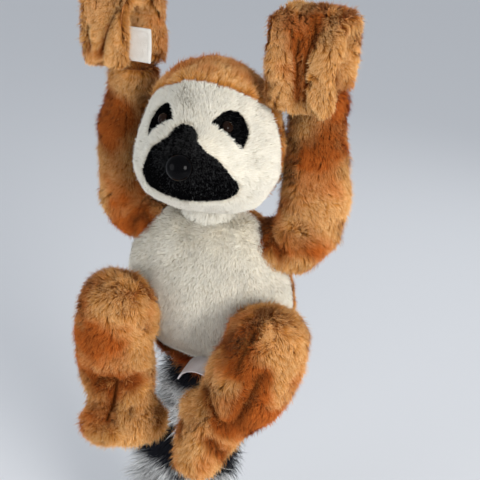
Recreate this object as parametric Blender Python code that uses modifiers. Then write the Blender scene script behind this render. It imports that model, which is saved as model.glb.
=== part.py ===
"""Hanging plush animal with a ringed tail, gripping a rail with both hands.

Frame: metres, +Z up, the toy faces -Y and its left side is +X.
The origin is on the axis of the rail, midway between the two hands; the rail runs along X.
Every fabric skin is an open shell round its own stuffing, so the pieces come apart as sewn.
"""
import math

import bmesh
import bpy
from mathutils import Matrix, Vector

OBJECT_NAME = "hanging_plush"

# Driving dimensions
RAIL_R = 0.0100            # radius of the rail that the hands close round
GAP = 0.0003               # clearance between touching pieces
SKIN = 0.0028              # thickness of the backed pile fabric
SEAM_GAP = 0.0010          # clearance between two skin panels along a seam
CORE = SKIN + 0.0012       # how far the stuffing's surface lies below the skin's
HEAD_GAP = 0.0005          # clearance between the head and the neck
NECK_ROOM = 0.0014         # clearance between the neck and the torso, over its whole nod

TORSO_C = Vector((0.0, 0.002, -0.240))
TORSO_R = Vector((0.083, 0.052, 0.080))
TORSO_PEAR = 0.17          # how much wider the torso is at the bottom than at the top
TORSO_SHOULDERS = 3.2      # 2 makes the torso's upper half round, more makes it squarer
TORSO_SEAM_Y = 0.004       # the side seams, where belly panel and back panel meet

NECK_C = Vector((0.0, -0.002, -0.158))
NECK_R = 0.024

HEAD_C = Vector((0.0, -0.012, -0.091))
HEAD_R = Vector((0.061, 0.057, 0.064))
HEAD_TURN = math.radians(6.0)          # the head looks a little to the toy's left
SNOUT_OUT = 0.030
SNOUT_DROP = math.radians(8.0)
SNOUT_SPREAD = math.radians(31.0)
CHEEK_OUT = 0.015
CHEEK_WAY = Vector((0.74, -0.34, -0.58))               # from the head's middle to the left cheek
CHEEK_SPREAD = math.radians(32.0)
TEMPLE_IN = 0.0065
TEMPLE_WAY = Vector((0.78, -0.50, 0.38))               # from the head's middle to the left temple
TEMPLE_SPREAD = math.radians(30.0)
CAP_SEAM_TILT = math.radians(50.0)     # the seam plane between face and cap, from upright
CAP_SEAM_UP = 0.0200                   # how far that plane passes from the head's middle

EYE_PATCH_AT = (math.radians(35.5), math.radians(21.5))    # to the side, and up
EYE_AT = (math.radians(30.0), math.radians(23.0))
EYE_R = 0.0052
EYE_PATCH_R = 0.0150
EYE_PATCH_ROUND = (math.radians(-36.0), math.radians(122.0))       # its round upper, outer edge
EYE_PATCH_TIPS = ((-0.0180, 0.0080), (0.0035, -0.0178))            # ends of its straight lower edge
PATCH_T = 0.0012                       # thickness of the short-pile face patches
PATCH_CUT_DEPTH = 0.060                # how deep a patch outline is pushed through the face
MUZZLE_PATCH_AT = Vector((-0.003, -0.065, -0.003))     # from the head's middle
EYE_H = 0.0032
EYE_SLACK = 0.0022                     # how far an eye's washer stands off the skin's inside
NOSE_AT = (0.0, math.radians(-2.0))
NOSE_R = 0.0110
NOSE_H = 0.0085
NOSE_SLACK = 0.0050
BUTTON_LIFT = 0.0006                   # a button's rim stands this far off its patch
STEM_R = 0.0020
STEM_PAST_WASHER = 0.0015
WASHER_R = 0.0075
WASHER_T = 0.0014

HAND_X = 0.089             # middle of each hand along the rail
HAND_OUT = 0.0265          # outer radius of the hand over the rail
HAND_IN = RAIL_R + 0.0006
PALM_W = 0.056
HAND_SPLIT = math.radians(102.0)       # where palm ends and fingers begin, round the rail
WRIST_Z = -0.041
FINGER_TIP_Z = {"left": -0.056, "right": -0.040}
FINGERS_SPAN = {"left": (0.050, 0.114), "right": (-0.121, -0.077)}     # along the rail
FINGERS_TAPER = 0.20       # how much narrower the fingers are at a depth of HAND_DEPTH than on top
PALM_TAPER = 0.12
HAND_DEPTH = 0.056
HAND_EDGE_R = 0.0060
GRIP_PATCH_SIZE = 0.030
GRIP_PATCH_Z = {"left": -0.029, "right": -0.021}
GRIP_PATCH_SHIFT = {"left": 0.0, "right": 0.025}       # the right one shows past the fingers

ARM_R = 0.0245
SHOULDER_C = Vector((0.057, 0.006, -0.190))
ARM_REST_GAP = 0.0020      # between the arm's end and the hand
SHOULDER_GAP = 0.0018      # clearance between the arm's round end and the torso
SHOULDER_ROOM = 0.050      # how far out of the torso that clearance runs

HIP_C = Vector((0.056, -0.020, -0.272))
HIP_R = 0.0290
HIP_ROOM = 0.0022          # clearance round the thigh in the torso, over its whole swing
HIP_ROOM_ANGLES = (-8.0, 18.0, 45.0)

# Middle line and radius of each shin and foot: the toy's legs hang in different poses
LEG_SHAPE = {
    "left": {"shin": [(0.086, -0.068, -0.252, 0.0340), (0.073, -0.084, -0.287, 0.0375),
                      (0.058, -0.094, -0.314, 0.0290)],
             "foot": [(0.028, -0.090, -0.320, 0.0150), (0.046, -0.100, -0.334, 0.0265),
                      (0.042, -0.112, -0.354, 0.0225)]},
    "right": {"shin": [(-0.065, -0.070, -0.252, 0.0350), (-0.063, -0.074, -0.290, 0.0355),
                       (-0.056, -0.074, -0.330, 0.0330)],
              "foot": [(-0.033, -0.078, -0.358, 0.0240), (-0.058, -0.100, -0.352, 0.0240)]},
}

TAIL_CORE_R = 0.0150
TAIL_GAP = 0.0010          # clearance between the tail's root and the torso
TAIL_SWING_ANGLES = (-15.0, 0.0, 20.0, 40.0, 60.0)     # the torso is cut clear of the root at each
TAIL_PILE_R = 0.0500
TAIL_PILE_PAST_TIP = 0.022
TAIL_BARE_ROOT = 0.030
TAIL_BANDS = 6
TAIL_ROUTE = [(0.0, 0.043, -0.290, TAIL_CORE_R), (-0.004, 0.068, -0.315, TAIL_CORE_R),
              (-0.014, 0.072, -0.370, TAIL_CORE_R), (-0.030, 0.058, -0.440, TAIL_CORE_R),
              (-0.043, 0.040, -0.510, TAIL_CORE_R - 0.002), (-0.046, 0.026, -0.580, 0.0100)]

LABEL_AT = Vector((0.010, -0.045, -0.316))
LABEL_W = 0.026
LABEL_T = 0.0008
LABEL_FOLD_R = 0.0100
LABEL_STRETCH = 1.6        # the folded label is this much longer than a round fold

TUBE_SIDES = 10
FUR = 0.95

COLOURS = {
    "tan_pile": ((0.44, 0.20, 0.055), FUR, 0.0),
    "cream_pile": ((0.72, 0.68, 0.56), FUR, 0.0),
    "black_pile": ((0.006, 0.006, 0.008), 0.9, 0.0),
    "grey_pile": ((0.50, 0.50, 0.48), FUR, 0.0),
    "stuffing": ((0.80, 0.80, 0.78), 1.0, 0.0),
    "gloss_plastic": ((0.008, 0.007, 0.007), 0.12, 0.0),
    "washer_plastic": ((0.75, 0.75, 0.72), 0.45, 0.0),
    "patch_fabric": ((0.78, 0.76, 0.70), 0.8, 0.0),
    "label_satin": ((0.82, 0.78, 0.78), 0.5, 0.0),
}

for leftover in list(bpy.data.objects):
    bpy.data.objects.remove(leftover, do_unlink=True)

parts = bpy.data.collections.new(OBJECT_NAME)
cutters = bpy.data.collections.new(OBJECT_NAME + "_cutters")
bpy.context.scene.collection.children.link(parts)
bpy.context.scene.collection.children.link(cutters)


def make_material(name):
    colour, roughness, metallic = COLOURS[name]
    material = bpy.data.materials.new(name)
    material.use_nodes = True
    shader = material.node_tree.nodes["Principled BSDF"]
    shader.inputs["Base Color"].default_value = (*colour, 1.0)
    shader.inputs["Roughness"].default_value = roughness
    shader.inputs["Metallic"].default_value = metallic
    return material


MATERIALS = {name: make_material(name) for name in COLOURS}


def add_part(name, mesh, material, smooth=True):
    mesh.materials.clear()
    mesh.materials.append(MATERIALS[material])
    if smooth:
        mesh.shade_smooth()
        mesh.set_sharp_from_angle(angle=math.radians(50.0))
    part = bpy.data.objects.new(name, mesh)
    parts.objects.link(part)
    return part


def add_cutter(name, mesh):
    cutter = bpy.data.objects.new(name, mesh)
    cutter.hide_render = True
    cutter.display_type = "WIRE"
    cutters.objects.link(cutter)
    return cutter


def cut(part, cutter):
    modifier = part.modifiers.new("cut_" + cutter.name, "BOOLEAN")
    modifier.operation = "DIFFERENCE"
    modifier.solver = "EXACT"
    modifier.object = cutter


def combine(part, other, operation):
    modifier = part.modifiers.new(operation.lower(), "BOOLEAN")
    modifier.operation = operation
    modifier.solver = "EXACT"
    modifier.object = other


def thicken(part, thickness):
    """Turn an open surface into a shell, growing inward from the surface."""
    modifier = part.modifiers.new("fabric", "SOLIDIFY")
    modifier.thickness = thickness
    modifier.offset = -1.0


def mesh_from(bm, name):
    mesh = bpy.data.meshes.new(name)
    bm.to_mesh(mesh)
    bm.free()
    return mesh


def ball(name, centre, radius, segments=24):
    """A sphere, or an ellipsoid when the radius is three numbers."""
    size = Vector(radius) if hasattr(radius, "__len__") else Vector((radius, radius, radius))
    bm = bmesh.new()
    bmesh.ops.create_uvsphere(bm, u_segments=segments, v_segments=segments // 2, radius=1.0)
    bmesh.ops.scale(bm, vec=size, verts=bm.verts)
    bmesh.ops.translate(bm, vec=centre, verts=bm.verts)
    return mesh_from(bm, name)


def rod(name, start, end, radius, segments=16):
    """A round bar between two points."""
    start, end = Vector(start), Vector(end)
    run = end - start
    bm = bmesh.new()
    bmesh.ops.create_cone(bm, cap_ends=True, segments=segments, radius1=radius,
                          radius2=radius, depth=run.length)
    turn = run.to_track_quat("Z", "Y").to_matrix().to_4x4()
    bmesh.ops.transform(bm, matrix=Matrix.Translation((start + end) / 2) @ turn, verts=bm.verts)
    return mesh_from(bm, name)


def smooth_path(points, steps):
    """Points read from a Catmull-Rom curve through the given ones; each is (x, y, z, radius)."""
    knots = [Vector(p) for p in points]
    knots = [2 * knots[0] - knots[1]] + knots + [2 * knots[-1] - knots[-2]]
    path = []
    for i in range(1, len(knots) - 2):
        p0, p1, p2, p3 = knots[i - 1:i + 3]
        for step in range(steps):
            t = step / steps
            path.append(0.5 * (2 * p1 + (p2 - p0) * t + (2 * p0 - 5 * p1 + 4 * p2 - p3) * t * t
                               + (3 * p1 - p0 - 3 * p2 + p3) * t ** 3))
    path.append(knots[-2])
    return path


def rounded(path, inset=0.0, start=True, end=True):
    """The path with its radii reduced by the inset, and a round end added outside each end."""
    path = [Vector((*knot.xyz, knot.w - inset)) for knot in path]
    angles = [math.radians(a) for a in (68.0, 36.0)]
    head, tail = [], []
    if start:
        first, inward = path[0].xyz, (path[1].xyz - path[0].xyz).normalized()
        radius = path[0].w
        head = [Vector((*(first - inward * radius * math.sin(a)), radius * math.cos(a)))
                for a in angles]
    if end:
        last, inward = path[-1].xyz, (path[-2].xyz - path[-1].xyz).normalized()
        radius = path[-1].w
        tail = [Vector((*(last - inward * radius * math.sin(a)), radius * math.cos(a)))
                for a in reversed(angles)]
    return head + path + tail


def tube(name, path, caps=True, sides=TUBE_SIDES):
    """A tube along the path, made as a bevelled curve and turned into a welded mesh."""
    curve = bpy.data.curves.new(name + "_line", "CURVE")
    curve.dimensions = "3D"
    curve.bevel_depth = 1.0
    curve.bevel_resolution = (sides - 4) // 2
    curve.use_fill_caps = caps
    curve.twist_mode = "MINIMUM"
    spline = curve.splines.new("POLY")
    spline.points.add(len(path) - 1)
    for point, knot in zip(spline.points, path):
        point.co = (*knot.xyz, 1.0)
        point.radius = knot.w
    holder = bpy.data.objects.new(name + "_line", curve)
    bpy.context.scene.collection.objects.link(holder)
    graph = bpy.context.evaluated_depsgraph_get()
    mesh = bpy.data.meshes.new_from_object(holder.evaluated_get(graph))
    bpy.data.objects.remove(holder, do_unlink=True)
    bpy.data.curves.remove(curve)
    bm = bmesh.new()
    bm.from_mesh(mesh)
    bmesh.ops.remove_doubles(bm, verts=bm.verts, dist=0.00002)
    bmesh.ops.recalc_face_normals(bm, faces=bm.faces)
    bm.to_mesh(mesh)
    bm.free()
    mesh.name = name
    return mesh


# Torso: a pear-shaped skin of two panels round one body of stuffing

def pear(bm, inset):
    """Shape a unit sphere into the torso."""
    size = TORSO_R - Vector((inset, inset, inset))
    for vert in bm.verts:
        wide = 1.0 - TORSO_PEAR * vert.co.z
        if 0.0 < vert.co.z < 0.999:
            round_width = math.sqrt(1.0 - vert.co.z ** 2)
            wide *= math.sqrt(1.0 - vert.co.z ** TORSO_SHOULDERS) / round_width
        vert.co = TORSO_C + Vector((vert.co.x * size.x * wide, vert.co.y * size.y * wide,
                                    vert.co.z * size.z))


def torso_mesh(name, inset=0.0, keep=None):
    """The whole torso, or the panel in front of or behind the side seams."""
    bm = bmesh.new()
    bmesh.ops.create_uvsphere(bm, u_segments=16, v_segments=10, radius=1.0)
    pear(bm, inset)
    if keep:
        side = -1.0 if keep == "front" else 1.0
        bmesh.ops.bisect_plane(bm, geom=bm.verts[:] + bm.edges[:] + bm.faces[:],
                               plane_co=(0.0, TORSO_SEAM_Y + side * SEAM_GAP / 2, 0.0),
                               plane_no=(0.0, side, 0.0), clear_inner=True)
    return mesh_from(bm, name)


def mirrored(point, side):
    """The point on the toy's left as given, or its mirror image on the toy's right."""
    return Vector((point[0] * (1.0 if side == "left" else -1.0), *point[1:]))


def thigh_line(side):
    """The thigh, from the hip's middle to the knee."""
    return [Vector((*mirrored(HIP_C, side), HIP_R)), Vector((*LEG_SHAPE[side]["shin"][0][:3], HIP_R))]


tail_path = smooth_path(TAIL_ROUTE, 3)
torso_cutters = [add_cutter("neck_socket", ball("neck_socket", NECK_C, NECK_R + NECK_ROOM, 16))]
for side in ("left", "right"):
    shoulder = mirrored(SHOULDER_C, side)
    outward = mirrored((SHOULDER_ROOM, 0.0, 0.0), side)
    torso_cutters += [
        add_cutter(f"shoulder_socket_{side}",
                   ball(f"shoulder_socket_{side}", shoulder, ARM_R + SHOULDER_GAP, 16)),
        add_cutter(f"shoulder_room_{side}",
                   rod(f"shoulder_room_{side}", shoulder, shoulder + outward,
                       ARM_R + SHOULDER_GAP, 16))]
    hip = Matrix.Translation(mirrored(HIP_C, side))
    for step, angle in enumerate(HIP_ROOM_ANGLES):
        room = tube(f"hip_room_{side}_{step}", rounded(thigh_line(side), -HIP_ROOM))
        room.transform(hip @ Matrix.Rotation(math.radians(angle), 4, "X") @ hip.inverted())
        torso_cutters.append(add_cutter(f"hip_room_{side}_{step}", room))
tail_root = Matrix.Translation(tail_path[0].xyz)
for step, angle in enumerate(TAIL_SWING_ANGLES):
    room = tube(f"tail_room_{step}", rounded(tail_path[:4], -TAIL_GAP))
    room.transform(tail_root @ Matrix.Rotation(math.radians(angle), 4, "X") @ tail_root.inverted())
    torso_cutters.append(add_cutter(f"tail_room_{step}", room))

belly = add_part("belly_panel", torso_mesh("belly_panel", keep="front"), "cream_pile")
back = add_part("back_panel", torso_mesh("back_panel", keep="back"), "tan_pile")
torso_filling = add_part("torso_filling", torso_mesh("torso_filling", CORE), "stuffing")
for panel in (belly, back):
    thicken(panel, SKIN)
for part in (belly, back, torso_filling):
    for cutter in torso_cutters:
        cut(part, cutter)

add_part("neck_filling", ball("neck_filling", NECK_C, NECK_R, 16), "stuffing")


# Head: face panel and cap round the head's stuffing, turned together on the neck

head_frame = Matrix.Translation(NECK_C) @ Matrix.Rotation(HEAD_TURN, 4, "Z") @ \
    Matrix.Translation(-NECK_C)


def head_point(direction, out=0.0):
    """The point of the head's surface in a direction from its middle, before the head is turned."""
    unit = direction.normalized()
    ellipsoid = 1.0 / math.sqrt(sum((unit[i] / HEAD_R[i]) ** 2 for i in range(3)))
    snout_axis = Vector((0.0, -math.cos(SNOUT_DROP), -math.sin(SNOUT_DROP)))
    off_snout = unit.angle(snout_axis)
    snout = SNOUT_OUT * math.exp(-(off_snout / SNOUT_SPREAD) ** 2)
    cheek, temple = 0.0, 0.0
    for side in ("left", "right"):
        off_cheek = unit.angle(mirrored(CHEEK_WAY, side))
        off_temple = unit.angle(mirrored(TEMPLE_WAY, side))
        cheek += CHEEK_OUT * math.exp(-(off_cheek / CHEEK_SPREAD) ** 2)
        temple += TEMPLE_IN * math.exp(-(off_temple / TEMPLE_SPREAD) ** 2)
    return HEAD_C + unit * (ellipsoid + snout + cheek - temple + out)


def head_mesh(name, inset=0.0, keep=None):
    bm = bmesh.new()
    bmesh.ops.create_uvsphere(bm, u_segments=16, v_segments=12, radius=1.0)
    bmesh.ops.rotate(bm, matrix=Matrix.Rotation(math.radians(90.0), 3, "X"), verts=bm.verts)
    bmesh.ops.triangulate(bm, faces=bm.faces)
    for vert in bm.verts:
        vert.co = head_point(vert.co, -inset)
    if keep:
        normal = Vector((0.0, math.cos(CAP_SEAM_TILT), math.sin(CAP_SEAM_TILT)))
        seam = HEAD_C + normal * CAP_SEAM_UP
        if keep == "face":
            normal = -normal
        bmesh.ops.bisect_plane(bm, geom=bm.verts[:] + bm.edges[:] + bm.faces[:],
                               plane_co=seam + normal * SEAM_GAP / 2, plane_no=normal,
                               clear_inner=True)
    bm.transform(head_frame)
    return mesh_from(bm, name)


def head_spot(side_angle, up_angle, out=0.0):
    """A point of the turned head's surface and the direction it faces."""
    ray = Vector((math.sin(side_angle) * math.cos(up_angle),
                  -math.cos(side_angle) * math.cos(up_angle), math.sin(up_angle)))
    step = math.radians(1.0)
    here = head_point(ray, out)
    side_ray = Matrix.Rotation(step, 3, "Z") @ ray
    up_ray = Matrix.Rotation(step, 3, ray.cross(Vector((0, 0, 1)))) @ ray
    facing = (head_point(side_ray, out) - here).cross(head_point(up_ray, out) - here).normalized()
    if facing.dot(ray) < 0.0:
        facing.negate()
    return head_frame @ here, head_frame.to_3x3() @ facing


def face_matrix(centre, z_axis):
    """A placement whose Z looks along z_axis and whose Y points as far up as it can."""
    across = Vector((0.0, 0.0, 1.0)).cross(z_axis).normalized()
    upward = z_axis.cross(across)
    matrix = Matrix((across, upward, z_axis)).transposed().to_4x4()
    matrix.translation = centre
    return matrix


def plate(name, outline, thickness, placement):
    """A flat outline made thick along its own Z, as a welded mesh."""
    curve = bpy.data.curves.new(name + "_outline", "CURVE")
    curve.dimensions = "2D"
    curve.fill_mode = "BOTH"
    curve.extrude = thickness / 2
    spline = curve.splines.new("POLY")
    spline.points.add(len(outline) - 1)
    spline.use_cyclic_u = True
    for point, (x, y) in zip(spline.points, outline):
        point.co = (x, y, 0.0, 1.0)
    holder = bpy.data.objects.new(name + "_outline", curve)
    bpy.context.scene.collection.objects.link(holder)
    graph = bpy.context.evaluated_depsgraph_get()
    mesh = bpy.data.meshes.new_from_object(holder.evaluated_get(graph))
    bpy.data.objects.remove(holder, do_unlink=True)
    bpy.data.curves.remove(curve)
    bm = bmesh.new()
    bm.from_mesh(mesh)
    bmesh.ops.remove_doubles(bm, verts=bm.verts, dist=0.00001)
    bmesh.ops.recalc_face_normals(bm, faces=bm.faces)
    bm.transform(placement)
    bm.to_mesh(mesh)
    bm.free()
    mesh.name = name
    return mesh


def arc(radius, start, end, count, centre=(0.0, 0.0)):
    """Points along an arc, from one angle to another."""
    angles = [start + (end - start) * i / (count - 1) for i in range(count)]
    return [(centre[0] + radius * math.cos(a), centre[1] + radius * math.sin(a)) for a in angles]


def turned(name, profile, placement, steps=16, closed=False):
    """A round piece turned about the placement's Z from (radius, height) points."""
    mesh = bpy.data.meshes.new(name)
    edges = [(i, i + 1) for i in range(len(profile) - 1)]
    if closed:
        edges.append((len(profile) - 1, 0))
    mesh.from_pydata([(r, 0.0, h) for r, h in profile], edges, [])
    part = bpy.data.objects.new(name, mesh)
    part.matrix_world = placement
    parts.objects.link(part)
    screw = part.modifiers.new("turn", "SCREW")
    screw.steps = steps
    screw.render_steps = steps
    screw.use_merge_vertices = True
    screw.merge_threshold = 0.00001
    return part


face = add_part("face_panel", head_mesh("face_panel", keep="face"), "cream_pile")
cap = add_part("head_cap", head_mesh("head_cap", keep="cap"), "tan_pile")
head_filling = add_part("head_filling", head_mesh("head_filling", CORE), "stuffing")
neck_cutter = add_cutter("neck_ball", ball("neck_ball", NECK_C, NECK_R + HEAD_GAP, 16))
for part in (face, cap):
    thicken(part, SKIN)
for part in (face, cap, head_filling):
    cut(part, neck_cutter)

patch_inside = add_cutter("patch_inside", head_mesh("patch_inside", -GAP))
patch_outside = add_cutter("patch_outside", head_mesh("patch_outside", -GAP - PATCH_T))


def face_patch(name, outline, placement):
    """A short-pile patch: the part of a thin layer over the face that lies inside the outline."""
    patch = add_part(name, plate(name, outline, PATCH_CUT_DEPTH, placement), "black_pile")
    combine(patch, patch_outside, "INTERSECT")
    cut(patch, patch_inside)
    return patch


def muzzle_outline():
    """A pear: narrow over the bridge of the nose, with wide round lobes at the mouth."""
    lobe = arc(0.0120, math.radians(-76), math.radians(28), 6, (0.0320, -0.0225))
    flank = [(0.0368, -0.0060), (0.0295, 0.0050), (0.0205, 0.0130)]
    top = arc(0.0135, math.radians(12), math.radians(168), 6, (0.0, 0.0165))
    right = lobe + flank
    return right + top + [(-x, y) for x, y in reversed(right)]


def eye_patch_outline(side):
    """A drop: round above and outside, and straight between two points towards the snout."""
    points = arc(EYE_PATCH_R, *EYE_PATCH_ROUND, 12) + list(EYE_PATCH_TIPS)
    return points if side == "left" else [(-x, y) for x, y in reversed(points)]


def button(name, radius, height, slack, spot, facing):
    """A domed safety button with its stem, pushed through the face, and the washer behind it.

    The slack is how far the washer stands off the curved inside of the skin.
    """
    placement = face_matrix(spot, facing)
    dome = [(radius * math.cos(a), height * math.sin(a))
            for a in [math.radians(90.0 - 18.0 * i) for i in range(6)]]
    dome[0] = (0.0, height)
    behind = SKIN + WASHER_T + slack
    proud = PATCH_T + GAP * 2 + BUTTON_LIFT
    stem = behind + proud + STEM_PAST_WASHER
    profile = dome + [(STEM_R, 0.0), (STEM_R, -stem), (0.0, -stem)]
    base = placement @ Matrix.Translation((0.0, 0.0, proud))
    shown = turned(name, profile, base)
    shown.data.materials.append(MATERIALS["gloss_plastic"])
    ring = [(STEM_R + GAP, WASHER_T), (WASHER_R, WASHER_T), (WASHER_R, 0.0), (STEM_R + GAP, 0.0)]
    washer = turned(f"{name}_washer", ring, placement @ Matrix.Translation((0, 0, -behind)),
                    closed=True)
    washer.data.materials.append(MATERIALS["washer_plastic"])
    hole = add_cutter(f"{name}_hole", rod(f"{name}_hole", spot + facing * 0.006,
                                          spot - facing * (behind + 0.008),
                                          STEM_R + GAP))
    pocket = add_cutter(f"{name}_pocket", rod(f"{name}_pocket", spot,
                                              spot - facing * (behind + 0.004),
                                              WASHER_R + 0.0006, 20))
    return hole, pocket


front = head_frame.to_3x3() @ Vector((0.0, -1.0, 0.0))
muzzle = face_patch("muzzle_patch", muzzle_outline(),
                    face_matrix(head_frame @ (HEAD_C + MUZZLE_PATCH_AT), front))
holes = {"nose": button("nose", NOSE_R, NOSE_H, NOSE_SLACK, *head_spot(*NOSE_AT))}
eye_patches = {}
for side, sign in (("left", 1.0), ("right", -1.0)):
    patch_spot, patch_facing = head_spot(sign * EYE_PATCH_AT[0], EYE_PATCH_AT[1])
    eye_patches[side] = face_patch(f"eye_patch_{side}", eye_patch_outline(side),
                                   face_matrix(patch_spot, patch_facing))
    holes[side] = button(f"eye_{side}", EYE_R, EYE_H, EYE_SLACK,
                         *head_spot(sign * EYE_AT[0], EYE_AT[1]))
for key, (hole, pocket) in holes.items():
    cut(face, hole)
    cut(muzzle if key == "nose" else eye_patches[key], hole)
    cut(head_filling, pocket)
    cut(head_filling, hole)


# Arms: a bent tube of skin and stuffing from shoulder to wrist

def arm_path(side):
    knots = [(0.057, 0.006, -0.190, ARM_R), (0.080, 0.007, -0.187, ARM_R),
             (0.094, 0.009, -0.168, ARM_R + 0.0010), (0.097, 0.012, -0.135, ARM_R + 0.0010),
             (0.095, 0.014, -0.095, ARM_R), (HAND_X + 0.001, 0.017, -0.060, ARM_R - 0.001),
             (HAND_X, 0.017, WRIST_Z - ARM_REST_GAP, ARM_R - 0.002)]
    return smooth_path([mirrored(k, side) for k in knots], 1)


for side in ("left", "right"):
    skin_path = rounded(arm_path(side), end=False)
    skin = add_part(f"arm_skin_{side}", tube(f"arm_skin_{side}", skin_path, caps=False), "tan_pile")
    thicken(skin, SKIN)
    core_path = rounded(arm_path(side), CORE, end=False)
    add_part(f"arm_filling_{side}", tube(f"arm_filling_{side}", core_path), "stuffing")


# Hands: palm behind the rail and over it, fingers down its front

ALONG_RAIL = Matrix(((0, 0, 1, 0), (1, 0, 0, 0), (0, 1, 0, 0), (0, 0, 0, 1)))


def add_hand_piece(name, outline, width, middle_x, taper):
    """A hand piece drawn in the YZ plane and made wide along the rail, narrower lower down."""
    placement = Matrix.Translation((middle_x, 0.0, 0.0)) @ ALONG_RAIL
    piece = add_part(name, plate(name, outline, width, placement), "tan_pile")
    for vert in piece.data.vertices:
        down = max(0.0, -vert.co.z / HAND_DEPTH)
        vert.co.x = middle_x + (vert.co.x - middle_x) * (1.0 - taper * down)
    bevel = piece.modifiers.new("soft_edges", "BEVEL")
    bevel.width = HAND_EDGE_R
    bevel.segments = 2
    bevel.limit_method = "ANGLE"
    bevel.angle_limit = math.radians(60.0)
    return piece


def palm_outline():
    over = arc(HAND_OUT, 0.0, HAND_SPLIT, 9)
    under = arc(HAND_IN, HAND_SPLIT, 0.0, 9)
    return [(HAND_IN, WRIST_Z), (HAND_OUT + 0.003, WRIST_Z)] + over + under


def fingers_outline(tip_z):
    split = HAND_SPLIT + GAP / HAND_OUT * 2
    over = arc(HAND_OUT, split, math.pi, 8)
    under = arc(HAND_IN, math.pi, split, 8)
    tip_r = (HAND_OUT - HAND_IN) / 2
    tip = arc(tip_r, math.pi, 2 * math.pi, 7, (-HAND_IN - tip_r, tip_z + tip_r))
    return over + tip + under


for side, sign in (("left", 1.0), ("right", -1.0)):
    add_hand_piece(f"hand_palm_{side}", palm_outline(), PALM_W, sign * HAND_X, PALM_TAPER)
    low, high = FINGERS_SPAN[side]
    add_hand_piece(f"hand_fingers_{side}", fingers_outline(FINGER_TIP_Z[side]), high - low,
                   (low + high) / 2, FINGERS_TAPER)


# Grip patches: a square of hook or loop tape inside the fingers of each hand

GRIP_PATCHES = {"left": "hook_patch_left", "right": "loop_patch_right"}
for side, name in GRIP_PATCHES.items():
    bm = bmesh.new()
    bmesh.ops.create_cube(bm, size=1.0)
    bmesh.ops.scale(bm, vec=(GRIP_PATCH_SIZE, PATCH_T, GRIP_PATCH_SIZE), verts=bm.verts)
    bmesh.ops.translate(bm, vec=(sum(FINGERS_SPAN[side]) / 2 + GRIP_PATCH_SHIFT[side],
                                 -HAND_IN + GAP + PATCH_T / 2, GRIP_PATCH_Z[side]), verts=bm.verts)
    add_part(name, mesh_from(bm, name), "patch_fabric", smooth=False)


# Legs: a knee-and-shin block joined to a round hip, with the foot sewn below it

def add_limb_cutter(name, path, inset):
    return add_cutter(name, tube(name, rounded(path, inset)))


for side, shape in LEG_SHAPE.items():
    hip = mirrored(HIP_C, side)
    upper_line = thigh_line(side)
    shin_line = smooth_path(shape["shin"], 2)
    foot_line = smooth_path(shape["foot"], 2)
    foot_room = add_limb_cutter(f"foot_room_{side}", foot_line, -GAP)
    thigh_outer = add_limb_cutter(f"thigh_outer_{side}", upper_line, 0.0)
    thigh_inner = add_limb_cutter(f"thigh_inner_{side}", upper_line, SKIN)
    thigh_core = add_limb_cutter(f"thigh_core_{side}", upper_line, CORE)
    shin_inner = add_limb_cutter(f"shin_inner_{side}", shin_line, SKIN)
    seam_hole = add_cutter(f"hip_opening_{side}", rod(
        f"hip_opening_{side}", hip, hip + mirrored((-0.030, 0.030, 0.006), side), 0.012))

    skin = add_part(f"leg_skin_{side}", tube(f"leg_skin_{side}", rounded(shin_line)), "tan_pile")
    combine(skin, thigh_outer, "UNION")
    for cutter in (shin_inner, thigh_inner, seam_hole, foot_room):
        cut(skin, cutter)
    filling = add_part(f"leg_filling_{side}",
                       tube(f"leg_filling_{side}", rounded(shin_line, CORE)), "stuffing")
    combine(filling, thigh_core, "UNION")
    cut(filling, foot_room)

    foot_hollow = add_limb_cutter(f"foot_hollow_{side}", foot_line, SKIN)
    heel = foot_line[0].xyz
    shin_end = shin_line[-1].xyz
    ankle_hole = add_cutter(f"ankle_hole_{side}", rod(
        f"ankle_hole_{side}", heel, heel + (shin_end - heel) * 3.0, 0.011))
    foot = add_part(f"foot_skin_{side}", tube(f"foot_skin_{side}", rounded(foot_line)), "tan_pile")
    cut(foot, foot_hollow)
    cut(foot, ankle_hole)
    add_part(f"foot_filling_{side}", tube(f"foot_filling_{side}", rounded(foot_line, CORE)),
             "stuffing")


# Tail: one long stuffed core in sewn rings of long pile, dark and light in turn

tail_core = tube("tail_filling", rounded(tail_path))
add_part("tail_filling", tail_core, "stuffing")
core_room = add_cutter("tail_core_room", tube("tail_core_room", rounded(tail_path, -GAP)))


def run_lengths(path):
    lengths = [0.0]
    for a, b in zip(path, path[1:]):
        lengths.append(lengths[-1] + (b.xyz - a.xyz).length)
    return lengths


def along(path, lengths, reach):
    """The place on the path at a length from its start; past its end it runs straight on."""
    i = max(j for j in range(len(path) - 1) if lengths[j] <= max(reach, 0.0))
    share = (reach - lengths[i]) / (lengths[i + 1] - lengths[i])
    return path[i].xyz.lerp(path[i + 1].xyz, share)


def pile_radius(share):
    """How far the long pile stands from the tail's middle: thin at the root, blunt at the tip."""
    root = min(1.0, 0.60 + 1.6 * share)
    tip = math.sqrt(max(0.0, 1.0 - max(0.0, (share - 0.80) / 0.215) ** 2))
    return TAIL_PILE_R * root * max(tip, 0.30)


lengths = run_lengths(tail_path)
pile_end = lengths[-1] + TAIL_PILE_PAST_TIP
band_length = (pile_end - TAIL_BARE_ROOT) / TAIL_BANDS


def pile_place(share):
    """A place on the tail's line, as a share of the length that carries pile."""
    return along(tail_path, lengths, TAIL_BARE_ROOT + share * (pile_end - TAIL_BARE_ROOT))


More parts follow.
